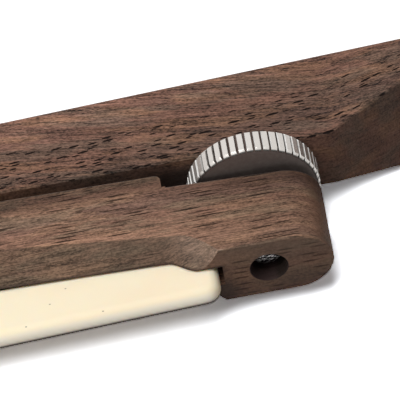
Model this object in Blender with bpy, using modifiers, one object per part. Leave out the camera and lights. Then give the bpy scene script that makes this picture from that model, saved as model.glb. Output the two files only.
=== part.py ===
"""Hand-held stitching pony: two hardwood arms, a knurled heel wheel and a quick-release cam lever.

X runs along the arms with the jaws at -X, Y goes from the front arm to the rear arm, Z is up.
All pieces hang on one frame empty whose origin is the wheel axis at mid-height on the rear arm's inner face.
"""
import math

import bpy
import bmesh

MM = 0.001

# Arms
ARM_HEIGHT = 14.0 * MM
REAR_THICK = 18.5 * MM
REAR_TAPER = 0.0398
REAR_TAPER_END = 46.0 * MM
JAW_REACH = 125.0 * MM
JAW_LENGTH = 38.0 * MM
JAW_WIDTH = 24.6 * MM
FLARE_START = 54.0 * MM
FLARE_END = 92.0 * MM
TAIL_REACH = 110.0 * MM
REAR_TIP_THICK = 10.5 * MM
FRONT_TIP_DEPTH = 12.5 * MM
TAPER_START = 52.0 * MM
EDGE_BREAK = 0.35 * MM
HEEL_EDGE_ROUND = 0.25 * MM
TIP_ROUND = 1.6 * MM

# Tail handle of the rear arm: as wide as the jaws and thinner than the arm
TAIL_STEP = 6.5 * MM
TAIL_START = 14.6 * MM
TAIL_FULL = 33.2 * MM
TAIL_BLEND = 0.06
BACK_BEVEL_SHARE = 0.9
BUTT_ROUND = 6.0 * MM

# Front arm
FRONT_FACE = 23.1 * MM
HEEL_END = 11.9 * MM
ARM_GAP_AT_HEEL = 2.53 * MM
ARM_CONVERGE = 0.0226
GAP_WAIST = 50.0 * MM
GAP_AT_JAW = 3.4 * MM
RELIEF_START = 15.9 * MM
RELIEF_ROUND = 1.7 * MM
RELIEF_FACE = 5.66 * MM
RELIEF_SLOPE = 0.0467

# Finger scoops beside the lever
SCOOP_LIP_DEPTH = 2.95 * MM
SCOOP_LIP_GROWTH = 0.040
SCOOP_TOP_DEPTH = 5.0 * MM
SCOOP_TOP_GROWTH = 0.135
SCOOP_TOP_START = 8.6 * MM
SCOOP_TOP_FULL = 15.5 * MM
SCOOP_LIP_START = 12.6 * MM
SCOOP_LIP_FULL = 18.2 * MM
SCOOP_FADE = 49.0 * MM
SCOOP_FADE_END = 58.5 * MM
SLOT_LIP = 0.12 * MM

# Cam lever and its slot
LEVER_THICK = 4.2 * MM
SLOT_HEIGHT = 4.8 * MM
SLOT_END = 8.3 * MM
LEVER_END_GAP = 0.9 * MM
LEVER_EDGE_ROUND = 1.9 * MM
LEVER_CORNER = 3.0 * MM
PIVOT_X = -66.0 * MM
PIVOT_DEPTH = 23.5 * MM
LEVER_TIP_DEPTH = 28.5 * MM
LEVER_ROOT_DEPTH = 30.7 * MM
LEVER_INNER_DEPTH = 17.8 * MM
LEVER_REST_GAP = 0.4 * MM
CAM_RADIUS = 8.0 * MM
CAM_DROP_PER_RAD = 1.25 * MM
CAM_SWEEP = math.radians(110.0)
CAM_RUN_ON = math.radians(6.0)
NOSE_CLEARANCE = 1.6 * MM

# Tie links, pins and saddle
LINK_THICK = 1.4 * MM
LINK_WIDTH = 6.0 * MM
LINK_SIDE_GAP = 0.2 * MM
LINK_SLOT_ROOM = 1.0 * MM
ANCHOR_Y = 9.0 * MM
ANCHOR_PIN_D = 4.0 * MM
LEVER_PIN_D = 3.0 * MM
PIN_HEAD_D = 5.0 * MM
PIN_HEAD_H = 0.9 * MM
BUSH_OD = 5.4 * MM
PIN_GAP = 0.15 * MM
SADDLE_THICK = 1.5 * MM
SADDLE_LENGTH = 18.0 * MM
SEAT_GAP = 0.25 * MM

# Heel wheel on its screw
WHEEL_D = 24.0 * MM
WHEEL_THICK = 4.8 * MM
WHEEL_RIDGES = 49
WHEEL_BACK_GAP = 0.3 * MM
RIDGE_HEIGHT = 0.55 * MM
RIDGE_SHARE = 0.66
WHEEL_CHAMFER = 0.5 * MM
SCREW_D = 6.0 * MM
SCREW_CLEARANCE = 0.2 * MM
SCREW_END_DEPTH = 19.7 * MM
SCREW_HEAD_D = 10.0 * MM
SCREW_HEAD_H = 6.0 * MM
SCREW_SOCKET_AF = 5.0 * MM
SCREW_SOCKET_DEPTH = 3.0 * MM
SCREW_HEAD_INSET = 0.4 * MM
BACK_WASHER_OD = 12.0 * MM
BACK_WASHER_T = 1.2 * MM
LOCK_NUT_AF = 10.0 * MM
LOCK_NUT_T = 3.0 * MM
HEEL_WASHER_OD = 9.8 * MM
HEEL_WASHER_T = 0.4 * MM
HEEL_WASHER_GAP = 0.15 * MM
HEEL_HOLE_D = 7.0 * MM
HEEL_HOLE_INNER_D = 8.2 * MM
HEEL_HOLE_STEP = 20.4 * MM

# Jaw linings
LINING_THICK = 2.2 * MM
LINING_PROUD = 0.4 * MM
LINING_GAP = 2.0 * MM
LINING_MARGIN = 0.6 * MM
LINING_SEAT = 0.15 * MM
LINING_CORNER = 1.2 * MM

# Opening spring
SPRING_X = -79.0 * MM
SPRING_OD = 6.0 * MM
SPRING_WIRE = 0.8 * MM
SPRING_TURNS = 6.0
POINTS_PER_TURN = 10
POCKET_D = 7.2 * MM
POCKET_DEPTH = 6.0 * MM
SPRING_SEAT_T = 0.6 * MM
SPRING_SEAT_GAP = 0.2 * MM

# Sampling
STATION_STEP = 3.5 * MM
FINE_STEP = 0.6 * MM
ROUND_SIDES = 40

HALF = ARM_HEIGHT / 2
JAW_HALF = JAW_WIDTH / 2
LINK_INNER_Z = LEVER_THICK / 2 + LINK_SIDE_GAP
LINK_OUTER_Z = LINK_INNER_Z + LINK_THICK
POCKET_HALF_Z = LINK_OUTER_Z + PIN_HEAD_H + 2 * SEAT_GAP
SADDLE_FACE = PIVOT_DEPTH - CAM_RADIUS - SEAT_GAP
SADDLE_FLOOR = SADDLE_FACE - SADDLE_THICK - SEAT_GAP
HEEL_CONTACT = WHEEL_BACK_GAP + WHEEL_THICK + HEEL_WASHER_GAP + HEEL_WASHER_T


def ease(value, start, end):
    u = min(max((value - start) / (end - start), 0.0), 1.0)
    return u * u * (3 - 2 * u)


def cove(value, start, end):
    u = min(max((value - start) / (end - start), 0.0), 1.0)
    return math.sin(u * math.pi / 2)


def ramp(value, start, end, blend):
    """Straight rise from 0 to 1, rounded over the blend share at each end."""
    u = min(max((value - start) / (end - start), 0.0), 1.0)
    near = min(u, 1 - u)
    rise = near ** 2 / (2 * blend) if near < blend else near - blend / 2
    return rise / (1 - blend) if u < 0.5 else 1 - rise / (1 - blend)


def round_off(distance, radius):
    """Inset of a quarter-round end at a distance from that end."""
    u = min(max(1 - distance / radius, 0.0), 1.0)
    return radius * (1 - math.sqrt(1 - u * u))


def jaw_flare(x):
    return (JAW_HALF - HALF) * ease(-x, FLARE_START, FLARE_END)


def rear_back(x):
    straight = REAR_THICK + REAR_TAPER * min(x, REAR_TAPER_END)
    if x > -TAPER_START:
        return straight
    start = REAR_THICK - REAR_TAPER * TAPER_START
    return start + (REAR_TIP_THICK - start) * (-TAPER_START - x) / (JAW_REACH - TAPER_START)


def rear_section(x):
    """Eight corners of the rear arm across X: inner face, top, back face, bottom."""
    tail = ramp(x, TAIL_START, TAIL_FULL, TAIL_BLEND)
    swell = (JAW_HALF - HALF) * tail
    inset = round_off(TAIL_REACH - x, BUTT_ROUND) + round_off(JAW_REACH + x, TIP_ROUND)
    half = HALF + jaw_flare(x) + swell - 0.8 * inset
    inner = TAIL_STEP * tail + 0.6 * inset
    back = rear_back(x) - 0.6 * inset
    back_bevel = (EDGE_BREAK + BACK_BEVEL_SHARE * swell, EDGE_BREAK + swell)
    return octagon(inner, back, half, (EDGE_BREAK, EDGE_BREAK), back_bevel, 1)


def front_inner(x):
    if x > -RELIEF_START:
        return RELIEF_FACE + RELIEF_SLOPE * (x + RELIEF_START)
    waist = ARM_GAP_AT_HEEL - ARM_CONVERGE * (min(-x, GAP_WAIST) - RELIEF_START)
    waist += (GAP_AT_JAW - waist) * ease(-x, GAP_WAIST, JAW_REACH - JAW_LENGTH)
    u = min(max((x + RELIEF_START + RELIEF_ROUND) / RELIEF_ROUND, 0.0), 1.0)
    return waist + (RELIEF_FACE - waist) * u ** 3


def front_plane(x):
    u = max(-TAPER_START - x, 0.0) / (JAW_REACH - TAPER_START)
    return FRONT_FACE - (FRONT_FACE - FRONT_TIP_DEPTH) * u ** 1.15


def front_section(x):
    """Eight corners of the front arm across X, with the finger scoops as its outer bevels."""
    kept = 1 - ease(-x, SCOOP_FADE, SCOOP_FADE_END)
    lip = SCOOP_LIP_DEPTH + SCOOP_LIP_GROWTH * max(-x - SCOOP_LIP_FULL, 0.0)
    top = SCOOP_TOP_DEPTH + SCOOP_TOP_GROWTH * max(-x - SCOOP_TOP_FULL, 0.0)
    lip *= kept * ease(-x, SCOOP_LIP_START, SCOOP_LIP_FULL)
    top *= kept * cove(-x, SCOOP_TOP_START, SCOOP_TOP_FULL)
    tip = round_off(JAW_REACH + x, TIP_ROUND)
    half = HALF + jaw_flare(x) - 0.8 * tip
    from_centre = x - (HEEL_END - HALF)
    if from_centre > 0:
        half = math.sqrt(max(HALF ** 2 - from_centre ** 2, (2 * EDGE_BREAK) ** 2))
    inner = front_inner(x) + 0.5 * tip
    outer = front_plane(x) - lip - 0.5 * tip
    opened = cove(-x, SCOOP_TOP_START, SCOOP_LIP_START) * kept
    full_rise = half - SLOT_HEIGHT / 2 - SLOT_LIP
    edge = min(EDGE_BREAK, 0.4 * half)
    soft = min(HEEL_EDGE_ROUND, 0.4 * half)
    rise = soft + max(full_rise - soft, 0.0) * opened
    bevel = (max(top - lip, 0.0) + soft, rise)
    return octagon(inner, outer, half, (edge, edge), bevel, -1)


def octagon(inner, outer, half, inner_bevel, outer_bevel, side):
    depth_in, rise_in = inner_bevel
    depth_out, rise_out = outer_bevel
    upper = [
        (inner, half - rise_in),
        (inner + depth_in, half),
        (outer - depth_out, half),
        (outer, half - rise_out),
    ]
    ring = upper + [(y, -z) for y, z in reversed(upper)]
    return [(side * y, z) for y, z in ring]


def stations(low, high, marks):
    """X positions from low to high, close together inside each marked span."""
    xs = [low]
    while xs[-1] < high:
        here = xs[-1] + 0.01 * FINE_STEP
        step = FINE_STEP if any(a <= here < b for a, b in marks) else STATION_STEP
        ahead = [a for a, b in marks if a > here]
        xs.append(min([xs[-1] + step] + ahead))
    xs[-1] = high
    if xs[-1] - xs[-2] < 0.3 * FINE_STEP:
        xs.pop(-2)
    return xs


# Scene and collections
for old in list(bpy.data.objects):
    bpy.data.objects.remove(old, do_unlink=True)

parts = bpy.data.collections.new("stitching_pony")
cutters = bpy.data.collections.new("cutters")
bpy.context.scene.collection.children.link(parts)
bpy.context.scene.collection.children.link(cutters)

frame = bpy.data.objects.new("pony_frame", None)
parts.objects.link(frame)
depth_centre = (LEVER_ROOT_DEPTH - max(rear_back(0.0), rear_back(TAIL_REACH))) / 2
frame.location = ((JAW_REACH - TAIL_REACH) / 2, depth_centre, JAW_HALF)


def material(name, colour, roughness, metallic=0.0):
    made = bpy.data.materials.new(name)
    made.use_nodes = True
    shader = made.node_tree.nodes["Principled BSDF"]
    shader.inputs["Base Color"].default_value = (*colour, 1.0)
    shader.inputs["Roughness"].default_value = roughness
    shader.inputs["Metallic"].default_value = metallic
    return made


WALNUT = material("walnut", (0.16, 0.09, 0.06), 0.5)
STEEL = material("steel", (0.62, 0.62, 0.64), 0.28, 1.0)
BRASS = material("brass", (0.72, 0.52, 0.22), 0.3, 1.0)
CREAM = material("cream_resin", (0.86, 0.76, 0.6), 0.25)
LEATHER = material("leather", (0.5, 0.3, 0.16), 0.7)

AXIS_TURN = {"Z": (0.0, 0.0, 0.0), "Y": (-math.pi / 2, 0.0, 0.0)}


def add(name, mesh, at, surface=None, axis="Z"):
    """Put a mesh on the frame as a part, or as a hidden cutter when it has no surface."""
    piece = bpy.data.objects.new(name, mesh)
    piece.parent = frame
    piece.location = at
    piece.rotation_euler = AXIS_TURN[axis]
    if surface:
        parts.objects.link(piece)
        mesh.materials.append(surface)
    else:
        cutters.objects.link(piece)
        piece.hide_render = True
        piece.display_type = "WIRE"
    return piece


def boolean(piece, cutter, operation="DIFFERENCE"):
    step = piece.modifiers.new(cutter.name, "BOOLEAN")
    step.operation = operation
    step.solver = "EXACT"
    step.object = cutter


def outline_mesh(name, loops, height, round_edge=0.0):
    """Flat outlines filled and extruded both ways; an edge round stays inside the outline."""
    curve = bpy.data.curves.new(name, "CURVE")
    curve.dimensions = "2D"
    curve.fill_mode = "BOTH"
    curve.extrude = height / 2 - round_edge
    curve.bevel_depth = round_edge
    curve.bevel_resolution = 2
    curve.offset = -round_edge
    for loop in loops:
        spline = curve.splines.new("POLY")
        spline.points.add(len(loop) - 1)
        for point, (x, y) in zip(spline.points, loop):
            point.co = (x, y, 0.0, 1.0)
        spline.use_cyclic_u = True
    return solid_from_curve(name, curve)


def solid_from_curve(name, curve):
    source = bpy.data.objects.new(name + "_curve", curve)
    bpy.context.scene.collection.objects.link(source)
    bpy.context.view_layer.update()
    shape = source.evaluated_get(bpy.context.evaluated_depsgraph_get())
    mesh = bpy.data.meshes.new_from_object(shape)
    bpy.data.objects.remove(source, do_unlink=True)
    mesh.name = name
    work = bmesh.new()
    work.from_mesh(mesh)
    bmesh.ops.remove_doubles(work, verts=work.verts, dist=0.00001)
    bmesh.ops.recalc_face_normals(work, faces=work.faces)
    work.to_mesh(mesh)
    work.free()
    mesh.materials.clear()
    return mesh


def circle(radius, x=0.0, y=0.0, sides=ROUND_SIDES):
    turn = 2 * math.pi / sides
    return [(x + radius * math.cos(turn * i), y + radius * math.sin(turn * i)) for i in range(sides)]


def hexagon(across_flats):
    return circle(across_flats / math.sqrt(3), sides=6)


def loft(name, xs, section, at, surface):
    """Skin through the sections of an arm, closed with a flat face at each end."""
    work = bmesh.new()
    rings = []
    for x in xs:
        rings.append([work.verts.new((x - at[0], y - at[1], z - at[2])) for y, z in section(x)])
    count = len(rings[0])
    for near, far in zip(rings, rings[1:]):
        for i in range(count):
            j = (i + 1) % count
            work.faces.new((near[i], near[j], far[j], far[i]))
    work.faces.new(rings[0])
    work.faces.new(rings[-1])
    bmesh.ops.recalc_face_normals(work, faces=work.faces)
    mesh = bpy.data.meshes.new(name)
    work.to_mesh(mesh)
    work.free()
    return add(name, mesh, at, surface)


def box_cutter(name, low, high):
    work = bmesh.new()
    bmesh.ops.create_cube(work, size=1.0)
    centre = [(a + b) / 2 for a, b in zip(low, high)]
    bmesh.ops.scale(work, vec=[b - a for a, b in zip(low, high)], verts=work.verts)
    mesh = bpy.data.meshes.new(name)
    work.to_mesh(mesh)
    work.free()
    return add(name, mesh, centre)


def round_cutter(name, radius, length, at, axis="Z"):
    return add(name, outline_mesh(name, [circle(radius)], length), at, axis=axis)


def turned(name, profile, at, surface=None, axis="Z"):
    """Solid of revolution; the profile lists (radius, height) from top to bottom."""
    mesh = bpy.data.meshes.new(name)
    verts = [(radius, 0.0, height) for radius, height in profile]
    mesh.from_pydata(verts, [(i, i + 1) for i in range(len(verts) - 1)], [])
    piece = add(name, mesh, at, surface, axis)
    spin = piece.modifiers.new("turn", "SCREW")
    spin.steps = ROUND_SIDES
    spin.render_steps = ROUND_SIDES
    spin.use_merge_vertices = True
    spin.merge_threshold = 0.00001
    spin.use_smooth_shade = False
    return piece


# Rear arm with its jaw and tail handle
rear_marks = [
    (-JAW_REACH, -JAW_REACH + TIP_ROUND),
    (TAIL_START, TAIL_START + 2 * TAIL_BLEND * (TAIL_FULL - TAIL_START)),
    (TAIL_FULL - 2 * TAIL_BLEND * (TAIL_FULL - TAIL_START), TAIL_FULL),
    (TAIL_REACH - BUTT_ROUND, TAIL_REACH),
]
rear_xs = stations(-JAW_REACH, TAIL_REACH, rear_marks)
rear_arm = loft("rear_arm", rear_xs, rear_section, (0.0, 0.0, 0.0), WALNUT)

# Front arm, with its origin on the heel contact that it rocks on
heel = (0.0, -HEEL_CONTACT, 0.0)
front_marks = [
    (-JAW_REACH, -JAW_REACH + TIP_ROUND),
    (-SCOOP_FADE_END, -SCOOP_FADE),
    (-RELIEF_START - RELIEF_ROUND, -SCOOP_TOP_START),
    (HEEL_END - HALF, HEEL_END),
]
front_xs = stations(-JAW_REACH, HEEL_END, front_marks)
front_arm = loft("front_arm", front_xs, front_section, heel, WALNUT)

# Jaw linings in their rabbets
jaw_root = -JAW_REACH + JAW_LENGTH
lining_length = JAW_LENGTH - 2 * LINING_MARGIN
lining_x = jaw_root - JAW_LENGTH / 2
lining_height = JAW_WIDTH - 2 * LINING_MARGIN


def rounded_plate(length, height, corner):
    points = []
    for quarter, (sx, sy) in enumerate(((1, 1), (-1, 1), (-1, -1), (1, -1))):
        for step in range(5):
            angle = math.pi / 2 * (quarter + step / 4)
            x = sx * (length / 2 - corner) + corner * math.cos(angle)
            points.append((x, sy * (height / 2 - corner) + corner * math.sin(angle)))
    return points


lining_loop = rounded_plate(lining_length, lining_height, LINING_CORNER)
rear_lining_back = LINING_THICK - LINING_PROUD
front_lining_face = LINING_PROUD + LINING_GAP
front_lining_back = front_lining_face + LINING_THICK
for side_name, back, arm, middle in (
    ("rear", rear_lining_back, rear_arm, rear_lining_back - LINING_THICK / 2),
    ("front", -front_lining_back, front_arm, -front_lining_back + LINING_THICK / 2),
):
    name = side_name + "_jaw_lining"
    mesh = outline_mesh(name, [lining_loop], LINING_THICK, 0.3 * MM)
    add(name, mesh, (lining_x, middle, 0.0), LEATHER, "Y")
    floor = back + math.copysign(LINING_SEAT, back)
    faces = sorted((floor, floor - math.copysign(JAW_WIDTH, back)))
    rabbet = box_cutter(
        side_name + "_rabbet",
        (-JAW_REACH - JAW_LENGTH, faces[0], -JAW_WIDTH),
        (jaw_root, faces[1], JAW_WIDTH),
    )
    boolean(arm, rabbet)

# Heel screw from the back of the rear arm, with a lock nut and a washer on each side of the wood
screw_top = rear_back(0.0) - SCREW_HEAD_INSET
head_under = screw_top - SCREW_HEAD_H
washer_floor = head_under - 2 * SEAT_GAP - BACK_WASHER_T
screw_r = SCREW_D / 2
screw_end = -SCREW_END_DEPTH
point = 0.8 * MM
screw_profile = [
    (0.0, screw_top),
    (SCREW_HEAD_D / 2 - EDGE_BREAK, screw_top),
    (SCREW_HEAD_D / 2, screw_top - EDGE_BREAK),
    (SCREW_HEAD_D / 2, head_under),
    (screw_r, head_under),
    (screw_r, screw_end + point),
    (screw_r - point, screw_end),
    (0.0, screw_end),
]
heel_screw = turned("heel_screw", screw_profile, (0.0, 0.0, 0.0), STEEL, "Y")
socket = outline_mesh("screw_socket", [hexagon(SCREW_SOCKET_AF)], 2 * SCREW_SOCKET_DEPTH)
boolean(heel_screw, add("screw_socket", socket, (0.0, screw_top, 0.0), axis="Y"))

bore_r = screw_r + SCREW_CLEARANCE
washer_rings = [circle(BACK_WASHER_OD / 2), circle(bore_r)]
washer_y = washer_floor + SEAT_GAP + BACK_WASHER_T / 2
nut_washer_y = LOCK_NUT_T + 2 * SEAT_GAP + BACK_WASHER_T / 2
for name, y in (("heel_screw_washer", washer_y), ("lock_nut_washer", nut_washer_y)):
    add(name, outline_mesh(name, washer_rings, BACK_WASHER_T), (0.0, y, 0.0), STEEL, "Y")

nut_mesh = outline_mesh("heel_lock_nut", [hexagon(LOCK_NUT_AF), circle(bore_r)], LOCK_NUT_T)
nut_y = SEAT_GAP + LOCK_NUT_T / 2
add("heel_lock_nut", nut_mesh, (0.0, nut_y, 0.0), STEEL, "Y")

counterbore_r = BACK_WASHER_OD / 2 + SEAT_GAP
counterbore = round_cutter(
    "screw_counterbore", counterbore_r, 2 * REAR_THICK, (0.0, washer_floor + REAR_THICK, 0.0), "Y"
)
boolean(rear_arm, counterbore)
boolean(rear_arm, round_cutter("screw_hole", bore_r, 4 * REAR_THICK, (0.0, 0.0, 0.0), "Y"))
nut_pocket_r = max(LOCK_NUT_AF / math.sqrt(3), BACK_WASHER_OD / 2) + SEAT_GAP
nut_pocket_depth = LOCK_NUT_T + BACK_WASHER_T + 3 * SEAT_GAP
boolean(rear_arm, round_cutter("nut_pocket", nut_pocket_r, 2 * nut_pocket_depth, (0.0, 0.0, 0.0), "Y"))

# Clearance hole of the front arm, opened out on its inner side so that the arm can rock
boolean(front_arm, round_cutter("heel_hole", HEEL_HOLE_D / 2, 4 * FRONT_FACE, (0.0, 0.0, 0.0), "Y"))
boolean(front_arm, round_cutter("heel_hole_step", HEEL_HOLE_INNER_D / 2, 2 * HEEL_HOLE_STEP, (0.0, 0.0, 0.0), "Y"))

# Knurled heel wheel with straight ridges, and its thrust washer
wheel_r = WHEEL_D / 2
valley_r = wheel_r - RIDGE_HEIGHT
pitch = 2 * math.pi / WHEEL_RIDGES
ridge_half = RIDGE_SHARE / 2 * pitch
valley_half = 0.5 * pitch - 0.65 * (0.5 * pitch - ridge_half)
knurl = []
for ridge in range(WHEEL_RIDGES):
    for radius, offset in (
        (valley_r, -valley_half),
        (wheel_r, -ridge_half),
        (wheel_r, ridge_half),
        (valley_r, valley_half),
    ):
        angle = ridge * pitch + offset
        knurl.append((radius * math.cos(angle), radius * math.sin(angle)))
wheel_mesh = outline_mesh("thumb_wheel", [knurl, circle(bore_r)], WHEEL_THICK)
wheel_y = -WHEEL_BACK_GAP - WHEEL_THICK / 2
thumb_wheel = add("thumb_wheel", wheel_mesh, (0.0, wheel_y, 0.0), STEEL, "Y")
half_wheel = WHEEL_THICK / 2
blank_profile = [
    (0.0, half_wheel + point),
    (wheel_r - WHEEL_CHAMFER - point, half_wheel + point),
    (wheel_r + WHEEL_CHAMFER, half_wheel - 2 * WHEEL_CHAMFER),
    (wheel_r + WHEEL_CHAMFER, -half_wheel + 2 * WHEEL_CHAMFER),
    (wheel_r - WHEEL_CHAMFER - point, -half_wheel - point),
    (0.0, -half_wheel - point),
]
boolean(thumb_wheel, turned("wheel_blank", blank_profile, (0.0, wheel_y, 0.0), axis="Y"), "INTERSECT")

heel_washer_mesh = outline_mesh("heel_washer", [circle(HEEL_WASHER_OD / 2), circle(bore_r)], HEEL_WASHER_T)
add("heel_washer", heel_washer_mesh, (0.0, -HEEL_CONTACT + HEEL_WASHER_T / 2, 0.0), STEEL, "Y")

# Cam lever, drawn about its pivot with the handle along +X and the cam towards +Y
pivot = (PIVOT_X, -PIVOT_DEPTH, 0.0)
handle = -SLOT_END - LEVER_END_GAP - PIVOT_X
outer_root = PIVOT_DEPTH - LEVER_ROOT_DEPTH
outer_tip = PIVOT_DEPTH - LEVER_TIP_DEPTH
inner_edge = PIVOT_DEPTH - LEVER_INNER_DEPTH
cam_end = math.pi / 2 + CAM_SWEEP + CAM_RUN_ON
lever_loop = []
cam_steps = 24
for step in range(cam_steps + 1):
    angle = math.pi / 2 + (CAM_SWEEP + CAM_RUN_ON) * step / cam_steps
    radius = CAM_RADIUS - CAM_DROP_PER_RAD * (angle - math.pi / 2)
    lever_loop.append((radius * math.cos(angle), radius * math.sin(angle)))
nose_radius = CAM_RADIUS - CAM_DROP_PER_RAD * (CAM_SWEEP + CAM_RUN_ON)
nose_steps = 10
for step in range(1, nose_steps + 1):
    angle = cam_end + (1.5 * math.pi - cam_end) * step / nose_steps
    radius = nose_radius + (-outer_root - nose_radius) * ease(step, 1, nose_steps)
    lever_loop.append((radius * math.cos(angle), radius * math.sin(angle)))
corner_steps = 6
for step in range(corner_steps + 1):
    angle = -math.pi / 2 + math.pi / 2 * step / corner_steps
    x = handle - LEVER_CORNER + LEVER_CORNER * math.cos(angle)
    lever_loop.append((x, outer_tip + LEVER_CORNER + LEVER_CORNER * math.sin(angle)))
for step in range(corner_steps + 1):
    angle = math.pi / 2 * step / corner_steps
    x = handle - LEVER_CORNER + LEVER_CORNER * math.cos(angle)
    lever_loop.append((x, inner_edge - LEVER_CORNER + LEVER_CORNER * math.sin(angle)))
shoulder_start = 0.25 * CAM_RADIUS
shoulder_end = 1.6 * CAM_RADIUS
shoulder_steps = 8
for step in range(shoulder_steps + 1):
    x = shoulder_end + (shoulder_start - shoulder_end) * step / shoulder_steps
    rise = ease(shoulder_end - x, 0.0, shoulder_end - shoulder_start)
    lever_loop.append((x, inner_edge + (CAM_RADIUS - LEVER_EDGE_ROUND / 4 - inner_edge) * rise))
lever_mesh = outline_mesh("cam_lever", [lever_loop], LEVER_THICK, LEVER_EDGE_ROUND)
cam_lever = add("cam_lever", lever_mesh, pivot, CREAM)
boolean(cam_lever, round_cutter("bush_hole", BUSH_OD / 2 + PIN_GAP, 4 * LEVER_THICK, pivot))

bush_r = LEVER_PIN_D / 2 + PIN_GAP
bush_mesh = outline_mesh("lever_bush", [circle(BUSH_OD / 2), circle(bush_r)], LEVER_THICK)
add("lever_bush", bush_mesh, pivot, BRASS)

# Lever pin with a domed head outside each link
head_under_z = LINK_OUTER_Z + PIN_GAP
dome = 6
pin_profile = []
for step in range(dome + 1):
    angle = math.pi / 2 * (1 - step / dome)
    height = head_under_z + PIN_HEAD_H * (0.4 + 0.6 * math.sin(angle))
    pin_profile.append((PIN_HEAD_D / 2 * math.cos(angle), height))
pin_profile.append((PIN_HEAD_D / 2, head_under_z))
pin_profile.append((LEVER_PIN_D / 2, head_under_z))
pin_profile += [(radius, -height) for radius, height in reversed(pin_profile)]
pin_profile[0] = (0.0, pin_profile[0][1])
pin_profile[-1] = (0.0, pin_profile[-1][1])
turned("lever_pin", pin_profile, pivot, STEEL)

# Tie links from the lever pin through both arms to the anchor pin
anchor = (PIVOT_X, ANCHOR_Y, 0.0)
link_r = LINK_WIDTH / 2
link_loop = []
arc_steps = 12
for centre_y, start in ((0.0, math.pi), (ANCHOR_Y + PIVOT_DEPTH, 0.0)):
    for step in range(arc_steps + 1):
        angle = start + math.pi * step / arc_steps
        link_loop.append((link_r * math.cos(angle), centre_y + link_r * math.sin(angle)))
link_holes = [
    circle(bush_r),
    circle(ANCHOR_PIN_D / 2 + PIN_GAP, 0.0, ANCHOR_Y + PIVOT_DEPTH),
]
link_z = LINK_INNER_Z + LINK_THICK / 2
for name, z in (("link_upper", link_z), ("link_lower", -link_z)):
    add(name, outline_mesh(name, [link_loop] + link_holes, LINK_THICK), (PIVOT_X, -PIVOT_DEPTH, z), STEEL)

anchor_half = HALF + jaw_flare(PIVOT_X) - SEAT_GAP
anchor_mesh = outline_mesh("link_anchor_pin", [circle(ANCHOR_PIN_D / 2)], 2 * anchor_half, EDGE_BREAK)
add("link_anchor_pin", anchor_mesh, anchor, STEEL)
boolean(rear_arm, round_cutter("anchor_hole", ANCHOR_PIN_D / 2 + PIN_GAP, 2 * JAW_WIDTH, anchor))

link_room = link_r + LINK_SLOT_ROOM
link_pocket = box_cutter(
    "rear_link_pocket",
    (PIVOT_X - link_room, -REAR_THICK, -LINK_OUTER_Z - SEAT_GAP),
    (PIVOT_X + link_room, ANCHOR_Y + link_r + LINK_SLOT_ROOM, LINK_OUTER_Z + SEAT_GAP),
)
boolean(rear_arm, link_pocket)

# Lever slot of the front arm, deeper under the cam, with a way through for each link
slot_floor = LEVER_INNER_DEPTH - LEVER_REST_GAP
slot_start = PIVOT_X - CAM_RADIUS - NOSE_CLEARANCE
saddle_span = SADDLE_LENGTH / 2 + SEAT_GAP
outside = -2 * FRONT_FACE
boolean(front_arm, box_cutter(
    "lever_slot",
    (slot_start, outside, -SLOT_HEIGHT / 2),
    (-SLOT_END, -slot_floor, SLOT_HEIGHT / 2),
))
boolean(front_arm, box_cutter(
    "saddle_pocket",
    (slot_start, outside, -SLOT_HEIGHT / 2),
    (PIVOT_X + 1.6 * CAM_RADIUS, -SADDLE_FLOOR, SLOT_HEIGHT / 2),
))
boolean(front_arm, box_cutter(
    "pin_head_room",
    (PIVOT_X - link_room, outside, -POCKET_HALF_Z),
    (PIVOT_X + link_room, -SADDLE_FACE, POCKET_HALF_Z),
))
for name, side in (("link_way_upper", 1), ("link_way_lower", -1)):
    near, far = sorted((side * (LINK_INNER_Z - SEAT_GAP), side * (LINK_OUTER_Z + SEAT_GAP)))
    way = box_cutter(name, (PIVOT_X - link_room, outside, near), (PIVOT_X + link_room, REAR_THICK, far))
    boolean(front_arm, way)

# Saddle plate under the cam, between the two links
saddle_loop = rounded_plate(SADDLE_LENGTH, 2 * (LINK_INNER_Z - 2 * SEAT_GAP), EDGE_BREAK)
saddle_mesh = outline_mesh("saddle_plate", [saddle_loop], SADDLE_THICK)
add("saddle_plate", saddle_mesh, (PIVOT_X, -SADDLE_FACE + SADDLE_THICK / 2, 0.0), BRASS, "Y")

# Opening spring on the jaw side of the links, in a pocket in each arm with a seat at its floor
front_floor = -front_inner(SPRING_X) - POCKET_DEPTH
seat_room = SPRING_SEAT_GAP + SPRING_SEAT_T
seat_r = POCKET_D / 2 - SEAT_GAP
for name, arm, floor, inward in (
    ("rear_spring_seat", rear_arm, POCKET_DEPTH, -1),
    ("front_spring_seat", front_arm, front_floor, 1),
):
    mouth = floor + inward * 2 * POCKET_DEPTH
    pocket_at = (SPRING_X, (floor + mouth) / 2, 0.0)
    boolean(arm, round_cutter(name + "_pocket", POCKET_D / 2, 2 * POCKET_DEPTH, pocket_at, "Y"))
    seat_y = floor + inward * (SPRING_SEAT_GAP + SPRING_SEAT_T / 2)
    seat_mesh = outline_mesh(name, [circle(seat_r), circle(seat_r / 3)], SPRING_SEAT_T)
    add(name, seat_mesh, (SPRING_X, seat_y, 0.0), BRASS, "Y")

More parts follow.
